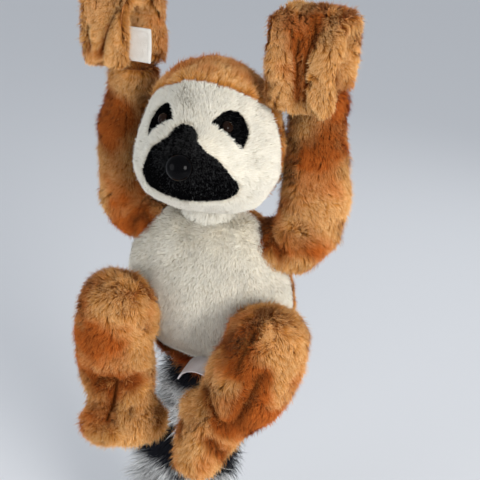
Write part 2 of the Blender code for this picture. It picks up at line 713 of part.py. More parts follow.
def slice_off(bm, share, way):
    """Cut the pile square across the tail and close it; way is +1 to keep what is nearer the tip."""
    run = (pile_place(share + 0.01) - pile_place(share - 0.01)).normalized() * way
    cut_ = bmesh.ops.bisect_plane(bm, geom=bm.verts[:] + bm.edges[:] + bm.faces[:],
                                  plane_co=pile_place(share) + run * GAP, plane_no=run,
                                  clear_inner=True)
    rim = [item for item in cut_["geom_cut"] if isinstance(item, bmesh.types.BMEdge)]
    bmesh.ops.contextual_create(bm, geom=rim)


pile_shares = [i / 16 for i in range(15)] + [0.92, 0.965, 1.0]
pile = tube("tail_pile", [Vector((*pile_place(s), pile_radius(s))) for s in pile_shares], sides=16)
for band in range(TAIL_BANDS):
    bm = bmesh.new()
    bm.from_mesh(pile)
    if band > 0:
        slice_off(bm, band / TAIL_BANDS, 1.0)
    if band < TAIL_BANDS - 1:
        slice_off(bm, (band + 1) / TAIL_BANDS, -1.0)
    name = f"tail_ring_{band + 1}"
    ring = add_part(name, mesh_from(bm, name), "grey_pile" if band % 2 == 0 else "black_pile")
    cut(ring, core_room)
bpy.data.meshes.remove(pile)


# Care label: a folded satin strip caught in the torso's bottom seam, between the legs

fold = arc(LABEL_FOLD_R, math.radians(200), math.radians(340), 8)
fold = [(x * LABEL_STRETCH, -y) for x, y in fold]
strip = fold + [(x * (1 - LABEL_T / LABEL_FOLD_R), y - LABEL_T) for x, y in reversed(fold)]
add_part("care_label", plate("care_label", strip, LABEL_W,
                             Matrix.Translation(LABEL_AT) @ Matrix.Rotation(math.radians(96), 4, "X")
                             @ Matrix.Rotation(math.radians(20), 4, "Z")),
         "label_satin", smooth=False)


# Joints: an empty on each joint's axis carries the pieces that turn about it

def add_joint(name, place, nodes, carrier=None):
    """An empty on the joint's axis; every mesh stays where it was modelled, at rest."""
    pivot = bpy.data.objects.new(name, None)
    pivot.location = place
    parts.objects.link(pivot)
    if carrier:
        pivot.parent = carrier
        pivot.matrix_parent_inverse = Matrix.Translation(-carrier.location)
    for node in nodes:
        rider = bpy.data.objects[node]
        rider.parent = pivot
        rider.matrix_parent_inverse = Matrix.Translation(-pivot.location)
    return pivot


head_nodes = ["face_panel", "head_cap", "head_filling", "muzzle_patch", "nose", "nose_washer"]
for side in ("left", "right"):
    head_nodes += [f"eye_{side}", f"eye_{side}_washer", f"eye_patch_{side}"]
neck_nod = add_joint("neck_nod_axis", NECK_C, ["neck_filling"])
add_joint("head_turn_axis", NECK_C, head_nodes, neck_nod)

for side in ("left", "right"):
    shoulder = add_joint(f"shoulder_axis_{side}", mirrored(SHOULDER_C, side),
                         [f"arm_skin_{side}", f"arm_filling_{side}", f"hand_palm_{side}"])
    knuckles = mirrored((HAND_X, HAND_OUT * math.cos(HAND_SPLIT), HAND_OUT * math.sin(HAND_SPLIT)),
                        side)
    add_joint(f"grip_axis_{side}", knuckles, [f"hand_fingers_{side}", GRIP_PATCHES[side]], shoulder)
    add_joint(f"hip_axis_{side}", mirrored(HIP_C, side),
              [f"leg_skin_{side}", f"leg_filling_{side}", f"foot_skin_{side}",
               f"foot_filling_{side}"])

add_joint("tail_swing_axis", Vector(TAIL_ROUTE[0][:3]),
          ["tail_filling"] + [f"tail_ring_{band + 1}" for band in range(TAIL_BANDS)])
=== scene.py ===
"""Looks of a hanging plush animal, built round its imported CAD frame.

Every stuffed part is one closed skin wrapped round its CAD solids, with a pile of narrow fibres that
grow from it. All but the neck and the tail are filled by cloth simulation. Metres, +Z up. The toy
faces -Y, and its left side is +X.
"""
import math

import bmesh
import bpy
import numpy as np
from mathutils import Matrix, Vector
from mathutils.bvhtree import BVHTree


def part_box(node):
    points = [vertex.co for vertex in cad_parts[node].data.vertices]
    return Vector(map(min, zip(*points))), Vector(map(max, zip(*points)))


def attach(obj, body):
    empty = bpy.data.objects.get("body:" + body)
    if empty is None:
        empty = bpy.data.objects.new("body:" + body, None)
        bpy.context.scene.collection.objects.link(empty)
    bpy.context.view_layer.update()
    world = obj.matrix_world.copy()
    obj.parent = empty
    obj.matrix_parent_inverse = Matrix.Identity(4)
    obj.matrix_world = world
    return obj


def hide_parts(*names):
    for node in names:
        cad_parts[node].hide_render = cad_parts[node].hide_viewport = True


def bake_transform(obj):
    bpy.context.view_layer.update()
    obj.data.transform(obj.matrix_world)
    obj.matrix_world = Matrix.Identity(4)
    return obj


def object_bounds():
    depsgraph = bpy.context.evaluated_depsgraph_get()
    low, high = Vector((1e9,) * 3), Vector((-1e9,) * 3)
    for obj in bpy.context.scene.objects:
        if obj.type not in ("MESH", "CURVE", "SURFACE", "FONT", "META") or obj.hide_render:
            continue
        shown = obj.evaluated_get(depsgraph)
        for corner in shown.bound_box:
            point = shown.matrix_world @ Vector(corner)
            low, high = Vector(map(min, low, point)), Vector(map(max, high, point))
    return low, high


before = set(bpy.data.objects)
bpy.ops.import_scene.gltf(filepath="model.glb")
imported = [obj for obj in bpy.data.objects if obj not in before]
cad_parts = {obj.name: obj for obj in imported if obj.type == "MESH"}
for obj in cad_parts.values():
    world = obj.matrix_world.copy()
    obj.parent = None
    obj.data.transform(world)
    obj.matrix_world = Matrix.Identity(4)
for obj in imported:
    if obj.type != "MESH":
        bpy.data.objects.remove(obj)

cad_low, cad_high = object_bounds()
scene = bpy.context.scene
scene.view_settings.view_transform = "Standard"


# Camera

CAMERA_AZIMUTH = math.radians(20.0)
CAMERA_ELEVATION = math.radians(24.0)
CAMERA_ROLL = math.radians(3.0)
CAMERA_DISTANCE = 0.768
CAMERA_LENS = 67.5
CAMERA_AIM = Vector((0.0507, -0.0593, -0.1642))

back = Vector((math.sin(CAMERA_AZIMUTH) * math.cos(CAMERA_ELEVATION),
               -math.cos(CAMERA_AZIMUTH) * math.cos(CAMERA_ELEVATION), math.sin(CAMERA_ELEVATION)))
level = Vector((math.cos(CAMERA_AZIMUTH), math.sin(CAMERA_AZIMUTH), 0.0))
upright = back.cross(level)
right = level * math.cos(CAMERA_ROLL) + upright * math.sin(CAMERA_ROLL)
up = upright * math.cos(CAMERA_ROLL) - level * math.sin(CAMERA_ROLL)
camera = bpy.data.objects.new("camera", bpy.data.cameras.new("camera"))
camera.data.lens = CAMERA_LENS
camera.data.clip_start = 0.01
camera.matrix_world = Matrix((right, up, back)).transposed().to_4x4()
camera.matrix_world.translation = CAMERA_AIM + back * CAMERA_DISTANCE
scene.collection.objects.link(camera)
scene.camera = camera


# Materials

STRETCH_FROM = (0.3, 0.7)  # the range that most of a noise lies in
DEEP_SCALE = 17.0          # patches of the deep colours, about 6 cm across
DEEP_RANGE = (-0.95, 1.35)
PATCH_SCALE = 34.0         # lighter and darker patches, about 3 cm across
FIBRE_ROUGHNESS = 0.85
FIBRE_SPECULAR = 0.10
BLACK_SPECULAR = 0.02      # of fibres with no sheen, so that they stay black
SHEEN_ROUGHNESS = 0.45
BLOTCH_SCALE = 70.0
THREAD_RELIEF = 0.0004
CLOTH_SHEEN = 0.2
GLOSS_SCALE = 250.0


def material_tools(name):
    material = bpy.data.materials.new(name)
    material.use_nodes = True
    tree = material.node_tree
    return material, tree.nodes, tree.links, tree.nodes["Principled BSDF"]


def noise_value(nodes, links, scale, low, high, detail=3.0):
    """A noise on the object's own coordinates, stretched to run from low to high."""
    place = nodes.new("ShaderNodeTexCoord")
    noise = nodes.new("ShaderNodeTexNoise")
    noise.inputs["Scale"].default_value = scale
    noise.inputs["Detail"].default_value = detail
    links.new(place.outputs["Object"], noise.inputs["Vector"])
    stretch = nodes.new("ShaderNodeMapRange")
    stretch.inputs["From Min"].default_value = STRETCH_FROM[0]
    stretch.inputs["From Max"].default_value = STRETCH_FROM[1]
    stretch.inputs["To Min"].default_value = low
    stretch.inputs["To Max"].default_value = high
    links.new(noise.outputs["Fac"], stretch.inputs["Value"])
    return stretch.outputs["Result"]


def ramp_colour(nodes, links, value, colours):
    """Colours spread evenly along a value from 0 to 1."""
    ramp = nodes.new("ShaderNodeValToRGB")
    stops = ramp.color_ramp.elements
    while len(stops) < len(colours):
        stops.new(0.5)
    for i, colour in enumerate(colours):
        stops[i].position = i / (len(colours) - 1)
        stops[i].color = (*colour, 1.0)
    links.new(value, ramp.inputs["Fac"])
    return ramp.outputs["Color"]


def attribute_value(nodes, name):
    attribute = nodes.new("ShaderNodeAttribute")
    attribute.attribute_name = name
    return attribute.outputs["Fac"]


def multiply(nodes, links, a, b):
    product = nodes.new("ShaderNodeMath")
    product.operation = "MULTIPLY"
    links.new(a, product.inputs[0])
    links.new(b, product.inputs[1])
    return product.outputs[0]


MIX_A, MIX_B, MIX_RESULT = 6, 7, 2     # the colour sockets of a Mix node, whose names repeat


def mix_colour(nodes, links, share, a, b):
    mix = nodes.new("ShaderNodeMix")
    mix.data_type = "RGBA"
    links.new(share, mix.inputs["Factor"])
    links.new(a, mix.inputs[MIX_A])
    links.new(b, mix.inputs[MIX_B])
    return mix.outputs[MIX_RESULT]


def fibre_material(name, colours, sheen, patchiness=0.14, deep=None):
    """Pile fibres: dark at the root, pale at the tip, uneven from tuft to tuft, and darker with painted
    shade in folds and shaded places.

    Where shade is painted on the pile, and in broad random patches, they show the deep colours instead.
    """
    material, nodes, links, shader = material_tools(name)
    tip = attribute_value(nodes, "tip")
    colour = ramp_colour(nodes, links, tip, colours)
    if deep:
        # the share of the deep colours: the painted shade that the fibres carry, plus broad random
        # patches
        share = nodes.new("ShaderNodeMath")
        share.operation = "ADD"
        share.use_clamp = True
        links.new(attribute_value(nodes, "painted_shade"), share.inputs[0])
        links.new(noise_value(nodes, links, DEEP_SCALE, *DEEP_RANGE), share.inputs[1])
        colour = mix_colour(nodes, links, share.outputs[0], colour,
                            ramp_colour(nodes, links, tip, deep))
    patches = noise_value(nodes, links, PATCH_SCALE, 1.0 - patchiness, 1.0 + patchiness)
    # the fibres' tuft value is their random tone, painted darker in folds and shaded places
    shade = nodes.new("ShaderNodeHueSaturation")
    links.new(multiply(nodes, links, attribute_value(nodes, "tuft"), patches),
              shade.inputs["Value"])
    links.new(colour, shade.inputs["Color"])
    links.new(shade.outputs["Color"], shader.inputs["Base Color"])
    shader.inputs["Roughness"].default_value = FIBRE_ROUGHNESS
    shader.inputs["Specular IOR Level"].default_value = FIBRE_SPECULAR if sheen else BLACK_SPECULAR
    shader.inputs["Sheen Weight"].default_value = sheen
    shader.inputs["Sheen Roughness"].default_value = SHEEN_ROUGHNESS
    shader.inputs["Sheen Tint"].default_value = (*colours[-1], 1.0)
    return material


def cloth_material(name, dark, pale, roughness=0.9, bump=0.25, scale=900.0):
    """Woven or knitted cloth: blotches of two shades, and a fine thread relief."""
    material, nodes, links, shader = material_tools(name)
    value = noise_value(nodes, links, BLOTCH_SCALE, 0.0, 1.0, detail=6.0)
    links.new(ramp_colour(nodes, links, value, [dark, pale]), shader.inputs["Base Color"])
    relief = nodes.new("ShaderNodeBump")
    relief.inputs["Strength"].default_value = bump
    relief.inputs["Distance"].default_value = THREAD_RELIEF
    links.new(noise_value(nodes, links, scale, 0.0, 1.0), relief.inputs["Height"])
    links.new(relief.outputs["Normal"], shader.inputs["Normal"])
    shader.inputs["Roughness"].default_value = roughness
    shader.inputs["Sheen Weight"].default_value = CLOTH_SHEEN
    return material


PLASTIC_IOR = 1.22         # low, so that the dark buttons stay dark at their rims


def plastic_material(name, colour, roughness, specular=0.5):
    """Moulded plastic with faint unevenness in its gloss."""
    material, nodes, links, shader = material_tools(name)
    value = noise_value(nodes, links, 400.0, 0.0, 1.0)
    pale = [min(1.0, c * 1.3) for c in colour]
    links.new(ramp_colour(nodes, links, value, [colour, pale]), shader.inputs["Base Color"])
    links.new(noise_value(nodes, links, GLOSS_SCALE, roughness * 0.8, roughness * 1.3),
              shader.inputs["Roughness"])
    shader.inputs["Specular IOR Level"].default_value = specular
    shader.inputs["IOR"].default_value = PLASTIC_IOR
    return material


TAN_ROOT = (0.30, 0.085, 0.014)
TAN_MIDDLE = (0.66, 0.275, 0.058)
TAN_TIP = (0.93, 0.62, 0.30)
# The deep colours: painted shade in folds, under the seat and on shaded places of the arms and legs, and
# broad random patches
SHADE_AND_PATCH_ROOT = (0.14, 0.022, 0.003)
SHADE_AND_PATCH_MIDDLE = (0.44, 0.090, 0.011)
SHADE_AND_PATCH_TIP = (0.64, 0.190, 0.033)
CREAM_ROOT = (0.74, 0.67, 0.54)
CREAM_TIP = (0.90, 0.88, 0.79)
BLACK_ROOT = (0.0012, 0.0012, 0.0015)
BLACK_TIP = (0.0016, 0.0016, 0.0020)
PALE_ROOT = (0.34, 0.34, 0.34)
PALE_TIP = (0.82, 0.82, 0.81)
DARK_TIP = (0.014, 0.015, 0.021)

PILES = {
    "tan_pile": fibre_material("tan_fibres", [TAN_ROOT, TAN_MIDDLE, TAN_TIP], 0.15, 0.10,
                               [SHADE_AND_PATCH_ROOT, SHADE_AND_PATCH_MIDDLE, SHADE_AND_PATCH_TIP]),
    "cream_pile": fibre_material("cream_fibres", [CREAM_ROOT, CREAM_TIP], 0.15, 0.05),
    "black_pile": fibre_material("black_fibres", [BLACK_ROOT, BLACK_TIP], 0.0, 0.30),
    "pale_tail_pile": fibre_material("pale_tail_fibres", [PALE_ROOT, PALE_TIP], 0.20, 0.10),
    "dark_tail_pile": fibre_material("dark_tail_fibres", [BLACK_ROOT, DARK_TIP], 0.05, 0.30),
}
BACKINGS = {
    "tan_pile": cloth_material("tan_backing", TAN_ROOT, TAN_MIDDLE),
    "cream_pile": cloth_material("cream_backing", CREAM_ROOT, CREAM_TIP),
    "black_pile": cloth_material("black_backing", BLACK_ROOT, BLACK_TIP),
    "pale_tail_pile": cloth_material("pale_tail_backing", PALE_ROOT, PALE_TIP),
    "dark_tail_pile": cloth_material("dark_tail_backing", BLACK_ROOT, DARK_TIP),
}
TAPE = cloth_material("grip_tape", (0.70, 0.67, 0.60), (0.86, 0.84, 0.79), 0.95, 0.7, 1400.0)
SATIN = cloth_material("label_satin", (0.80, 0.74, 0.74), (0.90, 0.86, 0.86), 0.42, 0.15, 1800.0)
NOSE_PLASTIC = plastic_material("nose_plastic", (0.0012, 0.0012, 0.0015), 0.10, 0.22)
EYE_PLASTIC = plastic_material("eye_plastic", (0.0090, 0.0040, 0.0022), 0.10, 0.30)
WASHER_PLASTIC = plastic_material("washer_plastic", (0.70, 0.70, 0.67), 0.45)


# Mesh tools

FIT_PASSES = 2             # how often a smoothed skin is brought back to its form


def coordinates(mesh):
    flat = np.zeros(len(mesh.vertices) * 3, np.float32)
    mesh.vertices.foreach_get("co", flat)
    return flat.reshape(-1, 3).astype(float)


def set_coordinates(mesh, points):
    mesh.vertices.foreach_set("co", points.astype(np.float32).ravel())
    mesh.update()


def vertex_normals(mesh):
    flat = np.zeros(len(mesh.vertices) * 3, np.float32)
    mesh.vertex_normals.foreach_get("vector", flat)
    return flat.reshape(-1, 3).astype(float)


def unit(vectors):
    return vectors / np.maximum(np.linalg.norm(vectors, axis=1, keepdims=True), 1e-9)


def applied(piece):
    """Replace the piece's mesh with what its modifiers make of it."""
    bpy.context.view_layer.update()
    mesh = bpy.data.meshes.new_from_object(
        piece.evaluated_get(bpy.context.evaluated_depsgraph_get()))
    old = piece.data
    piece.modifiers.clear()
    piece.data = mesh
    bpy.data.meshes.remove(old)


def new_piece(name, mesh):
    piece = bpy.data.objects.new(name, mesh)
    scene.collection.objects.link(piece)
    return piece


def piece_of(name, bm):
    """A new piece made of a finished mesh under construction, which is freed."""
    mesh = bpy.data.meshes.new(name)
    bm.to_mesh(mesh)
    bm.free()
    return new_piece(name, mesh)


def mesh_tree(mesh):
    """A tree that finds the nearest point of a mesh."""
    return BVHTree.FromPolygons([v.co for v in mesh.vertices], [p.vertices for p in mesh.polygons])


def biggest_part(bm):
    """Delete all but the largest connected part of a mesh, such as the inner walls of a shell."""
    unseen, parts = set(bm.verts), []
    while unseen:
        todo, part = [unseen.pop()], []
        while todo:
            vert = todo.pop()
            part.append(vert)
            for edge in vert.link_edges:
                other = edge.other_vert(vert)
                if other in unseen:
                    unseen.remove(other)
                    todo.append(other)
        parts.append(part)
    parts.sort(key=len)
    bmesh.ops.delete(bm, geom=[v for part in parts[:-1] for v in part], context="VERTS")


def hull_of(bm):
    made = bmesh.ops.convex_hull(bm, input=bm.verts)
    inner = [item for item in made["geom_interior"] if isinstance(item, bmesh.types.BMVert)]
    bmesh.ops.delete(bm, geom=inner, context="VERTS")


def cut_finer(bm, lengths):
    """Triangulate a mesh, and halve its edges that are longer than each of the lengths in turn."""
    bmesh.ops.triangulate(bm, faces=bm.faces)
    for longest in lengths:
        bmesh.ops.subdivide_edges(bm, edges=[e for e in bm.edges if e.calc_length() > longest], cuts=1)
        bmesh.ops.triangulate(bm, faces=bm.faces)


def averages(mesh):
    """A function that replaces each vertex's value by the mean of its neighbours' values."""
    ends = np.zeros(len(mesh.edges) * 2, np.int32)
    mesh.edges.foreach_get("vertices", ends)
    a, b = ends.reshape(-1, 2).T
    count = len(mesh.vertices)
    share = 1.0 / np.maximum(np.bincount(a, minlength=count) + np.bincount(b, minlength=count), 1)

    def averaged(values):
        total = np.zeros_like(values)
        np.add.at(total, a, values[b])
        np.add.at(total, b, values[a])
        return total * (share[:, None] if values.ndim == 2 else share)

    return averaged


def relax(piece, rounds, sink):
    """Smooth the skin, then bring it back to its own size and sink it evenly below that."""
    mesh = piece.data
    target = mesh_tree(mesh)
    averaged = averages(mesh)
    points = coordinates(mesh)
    for _ in range(rounds):
        points = (points + averaged(points)) * 0.5
    set_coordinates(mesh, points)
    for _ in range(FIT_PASSES):
        normals = vertex_normals(mesh)
        near = np.array([target.find_nearest(Vector(p))[0] for p in points])
        off = ((near - points) * normals).sum(1)
        for _ in range(rounds):
            off = (off + averaged(off)) * 0.5
        points = points + normals * off[:, None]
        set_coordinates(mesh, points)
    set_coordinates(mesh, points - vertex_normals(mesh) * sink)


def wrap(name, nodes, voxel, sink, rounds, hull=False):
    """One closed, smooth skin round some CAD nodes, sunk a little below them to make room for pile."""
    bm = bmesh.new()
    for node in nodes:
        bm.from_mesh(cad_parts[node].data)
    if hull:
        bmesh.ops.delete(bm, geom=bm.faces[:] + bm.edges[:], context="EDGES_FACES")
        hull_of(bm)
    piece = piece_of(name, bm)
    remesh = piece.modifiers.new("even_grid", "REMESH")
    remesh.mode = "VOXEL"
    remesh.voxel_size = voxel
    applied(piece)
    bm = bmesh.new()
    bm.from_mesh(piece.data)
    biggest_part(bm)
    bm.to_mesh(piece.data)
    bm.free()
    relax(piece, rounds, sink)
    return piece


FILL_FRAMES = 16
FILL_PRESSURE = 4.0
FILL_SHRINK = -0.03        # the fabric is cut this much larger than the form, so that it puckers
CLOTH_STEPS = 4
CLOTH_STIFFNESS = 12.0
CLOTH_BENDING = 0.3
CLOTH_MASS = 0.2


def fill(piece, reach):
    """Fill the skin by cloth simulation with pressure inside; no point moves further than reach."""
    rest = coordinates(piece.data)
    cloth = piece.modifiers.new("filling", "CLOTH")
    cloth.settings.quality = CLOTH_STEPS
    cloth.settings.mass = CLOTH_MASS
    cloth.settings.tension_stiffness = CLOTH_STIFFNESS
    cloth.settings.compression_stiffness = CLOTH_STIFFNESS
    cloth.settings.bending_stiffness = CLOTH_BENDING
    cloth.settings.use_pressure = True
    cloth.settings.uniform_pressure_force = FILL_PRESSURE
    cloth.settings.shrink_min = FILL_SHRINK
    cloth.settings.effector_weights.gravity = 0.0
    cloth.point_cache.frame_start = 1
    cloth.point_cache.frame_end = FILL_FRAMES
    for step in range(1, FILL_FRAMES + 1):
        scene.frame_set(step)
    applied(piece)
    scene.frame_set(1)
    moved = coordinates(piece.data) - rest
    far = np.linalg.norm(moved, axis=1, keepdims=True)
    set_coordinates(piece.data, rest + moved * np.minimum(1.0, reach / np.maximum(far, 1e-9)))


def refine(piece):
    smooth = piece.modifiers.new("finer", "SUBSURF")
    smooth.levels = smooth.render_levels = 1
    applied(piece)
    piece.data.shade_smooth()


CREASE_STEPS = 6           # places laid on the skin for each run of a crease
CREASE_SHADE_WIDTH = 1.6         # how much wider than a crease the shade painted along it is
FRONT_ROOM = 0.05          # how far in front of a node a place on its front is looked for from
folds_and_shade = {}                 # for each skin, 0 to 1 at each point: crease depth, and painted shade at other places; the pile there is shorter and painted darker


def distance_to_line(points, line):
    """How far each point is from a line of straight runs."""
    best = np.full(len(points), np.inf)
    for a, b in zip(line, line[1:]):
        a, b = np.array(a, float), np.array(b, float)
        run = b - a
        share = np.clip((points - a) @ run / max(run @ run, 1e-12), 0.0, 1.0)
        best = np.minimum(best, np.linalg.norm(points - a - share[:, None] * run, axis=1))
    return best


def crease(piece, line, depth, width):
    """Press a crease into the skin along a line near its surface, and paint shade into the pile along
    it.
    """
    mesh = piece.data
    surface = BVHTree.FromPolygons([v.co for v in mesh.vertices], [p.vertices for p in mesh.polygons])
    laid = []
    for a, b in zip(line, line[1:]):
        for step in range(CREASE_STEPS):
            laid.append(surface.find_nearest(Vector(a).lerp(Vector(b), step / CREASE_STEPS))[0])
    laid.append(surface.find_nearest(Vector(line[-1]))[0])
    points = coordinates(mesh)
    amount = np.exp(-(distance_to_line(points, laid) / width) ** 2)
    set_coordinates(mesh, points - vertex_normals(mesh) * (amount * depth)[:, None])
    add_fold_and_shade(piece, np.exp(-(distance_to_line(points, laid) / (width * CREASE_SHADE_WIDTH)) ** 2))


def spot(piece, node, across, up):
    """The place on the front of a skin at a share of its CAD node's box, across from its inner side."""
    low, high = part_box(node)
    inner, outer = (low.x, high.x) if low.x + high.x > 0.0 else (high.x, low.x)
    start = Vector((inner + (outer - inner) * across, low.y - FRONT_ROOM, low.z + (high.z - low.z) * up))
    surface = mesh_tree(piece.data)
    hit = surface.ray_cast(start, Vector((0.0, 1.0, 0.0)))[0]
    return hit or surface.find_nearest(start)[0]


def spots(piece, node, shares):
    return [spot(piece, node, across, up) for across, up in shares]


# Raise the skin's crease depth and painted shade to at least amount at each point.
def add_fold_and_shade(piece, amount):
    before = folds_and_shade.get(piece.name, np.zeros(len(amount)))
    folds_and_shade[piece.name] = np.maximum(before, amount)


def swell(piece, way, amount, low, high):
    """Stuff the skin fuller on the side that faces the way given, between two heights."""
    points, normals = coordinates(piece.data), vertex_normals(piece.data)
    share = np.clip(normals @ np.array(way), 0.0, 1.0)
    middle, half = (low + high) / 2, (high - low) / 2
    share = share * np.clip(1.5 * (1.0 - np.abs(points[:, 2] - middle) / half), 0.0, 1.0)
    set_coordinates(piece.data, points + normals * (share * amount)[:, None])


def shorten_and_shade_pile(piece, place, radius, amount):
    """Paint shade into the pile round a place, and make the pile shorter there."""
    points = coordinates(piece.data)
    nearest = points[np.linalg.norm(points - np.array(place), axis=1).argmin()]
    far = np.linalg.norm(points - nearest, axis=1)
    add_fold_and_shade(piece, amount * np.exp(-(far / radius) ** 2))


WAVE_COUNT = 9


def waves(points, size, seed):
    """A smooth random field, from about -1 to 1, whose features are about as wide as size."""
    rng = np.random.default_rng(seed)
    total = np.zeros(len(points))
    for _ in range(WAVE_COUNT):
        way = rng.normal(size=3)
        way *= 2.0 * math.pi / (size * rng.uniform(0.7, 1.6) * np.linalg.norm(way))
        total += np.sin(points @ way + rng.uniform(0.0, 2.0 * math.pi))
    return total / math.sqrt(WAVE_COUNT)


def lumps(piece, size, height, seed):
    """Uneven stuffing."""
    points = coordinates(piece.data)
    rise = waves(points, size, seed) * height
    set_coordinates(piece.data, points + vertex_normals(piece.data) * rise[:, None])


# Pile: thousands of narrow curved fibres that grow from a skin

FIBRES = 66000             # on a big panel
FIBRE_WIDTH = 0.00050
FINE_WIDTH = 0.00045
SWAY_SIZE = 0.030          # how far apart the pile turns from lying one way to lying another
FOLD_SHORTENS = 0.68       # how much shorter the pile is in the deepest fold and painted shade, and how much darker the painted shade makes it
FOLD_PAINTED_SHADE = 0.60
LENGTHS = (0.82, 1.08)     # the shortest and longest fibre, and tuft, as shares of the pile's length
TUFT_LENGTHS = (0.94, 1.06)
LENGTH_WAVES = 0.08        # how much the length changes from place to place
SHADES = (0.93, 1.07)      # the darkest and lightest fibre, and tuft
TUFT_SHADES = (0.94, 1.06)
TUFT_WOBBLE = 0.35         # how uneven the tufts' borders are, as a share of their size
SIDE_SCATTER = 0.25        # how unevenly the fibres' flat sides face
STRAY_LENGTH = 1.22        # a stray fibre's length, and how much more upright it is
STRAY_STAND = 0.35
LIE_SCATTER = 0.15         # how much each fibre's own way differs, before and after it is raised
WAY_SCATTER = 0.08
ARCH = 0.8                 # how much a fibre curves up before it lies down
TAPER = 0.6                # below 1, a fibre keeps its width for longer towards its tip
SKIN_NORMALS = 0.65        # how much a fibre is shaded like the skin under it
DEEP_SHARE = 1.8           # how soon a place with painted shade shows only the deep colours
BAKE_MAP = "OFBake"        # the fibres' own texture map, with one small cell for each fibre


def sample(piece, count, rng, mask):
    """Random places spread evenly over a skin's masked part, with its normal, crease depth and painted
    shade there.
    """
    mesh = piece.data
    mesh.calc_loop_triangles()
    corners = np.zeros(len(mesh.loop_triangles) * 3, np.int32)
    mesh.loop_triangles.foreach_get("vertices", corners)
    corners = corners.reshape(-1, 3)
    points, normals = coordinates(mesh), vertex_normals(mesh)
    mask = np.ones(len(points)) if mask is None else mask
    fold_and_shade = folds_and_shade.get(piece.name, np.zeros(len(points)))
    a, b, c = (points[corners[:, i]] for i in range(3))
    area = np.linalg.norm(np.cross(b - a, c - a), axis=1) * (mask[corners].max(1) > 0.5)
    chosen = rng.choice(len(area), count, p=area / area.sum())
    u, v = rng.random(count), rng.random(count)
    u, v = np.where(u + v > 1.0, 1.0 - u, u), np.where(u + v > 1.0, 1.0 - v, v)
    shares = np.stack([1.0 - u - v, u, v], axis=1)

    def mixed(values):
        return sum(shares[:, i, None] * values[corners[chosen, i]] for i in range(3))

    kept = mixed(mask[:, None])[:, 0] > 0.5
    return mixed(points)[kept], unit(mixed(normals))[kept], mixed(fold_and_shade[:, None])[kept, 0]


def tufts(roots, size, rng):
    """Group the roots into tufts; returns each root's tuft number and the number of tufts."""
    wobble = TUFT_WOBBLE * size * np.sin(roots[:, [1, 2, 0]] / size * 1.7 + np.array([0.0, 1.3, 2.1]))
    cells = np.floor((roots + wobble) / size).astype(np.int64)
    _, tuft = np.unique(cells, axis=0, return_inverse=True)
    tuft = tuft.reshape(-1)
    return tuft, int(tuft.max()) + 1


def grow(name, skin, count, length, width, stand, comb, seed, slot, mask=None,
         segments=2, tuft_size=0.0055, gather=0.18, ruffle=0.20, sway=0.55, stray=0.06,
         extra_shade=0.0, thinning=None):
    """A piece made of fibres that grow where the mask over the skin's vertices is above a half.

    stand is how upright they are and comb the way that they lie. sway is how much that turns from
    place to place, ruffle how much it differs between tufts, and stray the share that stick out.
    extra_shade is how much more of the deep colours, that is of painted shade, it has, and thinning a
    function that gives the share of the length at each root.
    """
    rng = np.random.default_rng(seed)
    roots, normals, fold_and_shade = sample(skin, count, rng, mask)
    count = len(roots)
    tuft, tuft_count = tufts(roots, tuft_size, rng)
    lie = comb(roots) if callable(comb) else np.tile(np.array(comb, float), (count, 1))
    turn = np.stack([waves(roots, SWAY_SIZE, seed + 100 * i) for i in (1, 2, 3)], axis=1) * sway
    lie = lie + turn + rng.normal(size=(tuft_count, 3))[tuft] * ruffle
    lie = lie + rng.normal(size=(count, 3)) * LIE_SCATTER
    lie = lie - normals * (lie * normals).sum(1)[:, None]
    loose = rng.random(count) < stray
    upright = np.where(loose, stand + STRAY_STAND, stand)[:, None]
    way = unit(normals * upright + unit(lie) * (1.0 - stand * 0.5)
               + rng.normal(size=(count, 3)) * WAY_SCATTER)
    reach = length * rng.uniform(*LENGTHS, count) * rng.uniform(*TUFT_LENGTHS, tuft_count)[tuft]
    reach *= (1.0 - FOLD_SHORTENS * fold_and_shade) * np.where(loose, STRAY_LENGTH, 1.0)
    reach *= 1.0 + LENGTH_WAVES * waves(roots, SWAY_SIZE * 0.6, seed + 7)
    if thinning:
        reach *= thinning(roots)
    tips = roots + way * reach[:, None]
    share = np.bincount(tuft, minlength=tuft_count)[:, None]
    middle = np.stack([np.bincount(tuft, tips[:, i], tuft_count) for i in range(3)], axis=1) / share
    way = way * reach[:, None] + (middle[tuft] - tips) * (gather * ~loose)[:, None]
    side = unit(np.cross(way, normals) + rng.normal(size=(count, 3)) * SIDE_SCATTER * reach[:, None])

    rows = 2 * segments + 1
    points = np.zeros((count, rows, 3))
    along = np.zeros((count, rows))
    for j in range(segments + 1):
        t = j / segments
        centre = roots + normals * (reach * t * (1.0 - t) * ARCH)[:, None] + way * t
        half = side * (width * 0.5 * (1.0 - t) ** TAPER)
        if j < segments:
            points[:, 2 * j] = centre - half
            points[:, 2 * j + 1] = centre + half
            along[:, 2 * j:2 * j + 2] = t
        else:
            points[:, 2 * j] = centre
            along[:, 2 * j] = 1.0
    # painted shade: darker fibres, and more of the deep colours, in folds and shaded places
    return fibre_piece(name, points, along, normals, segments, tuft_tone_and_shade(rng, tuft, tuft_count, fold_and_shade),
                       fold_and_shade * DEEP_SHARE + extra_shade, slot)


# Each fibre's random tone, painted darker in folds and shaded places.
def tuft_tone_and_shade(rng, tuft, tuft_count, fold_and_shade):
    shade = rng.uniform(*TUFT_SHADES, tuft_count)[tuft] * rng.uniform(*SHADES, len(tuft))
    return shade * (1.0 - FOLD_PAINTED_SHADE * fold_and_shade)


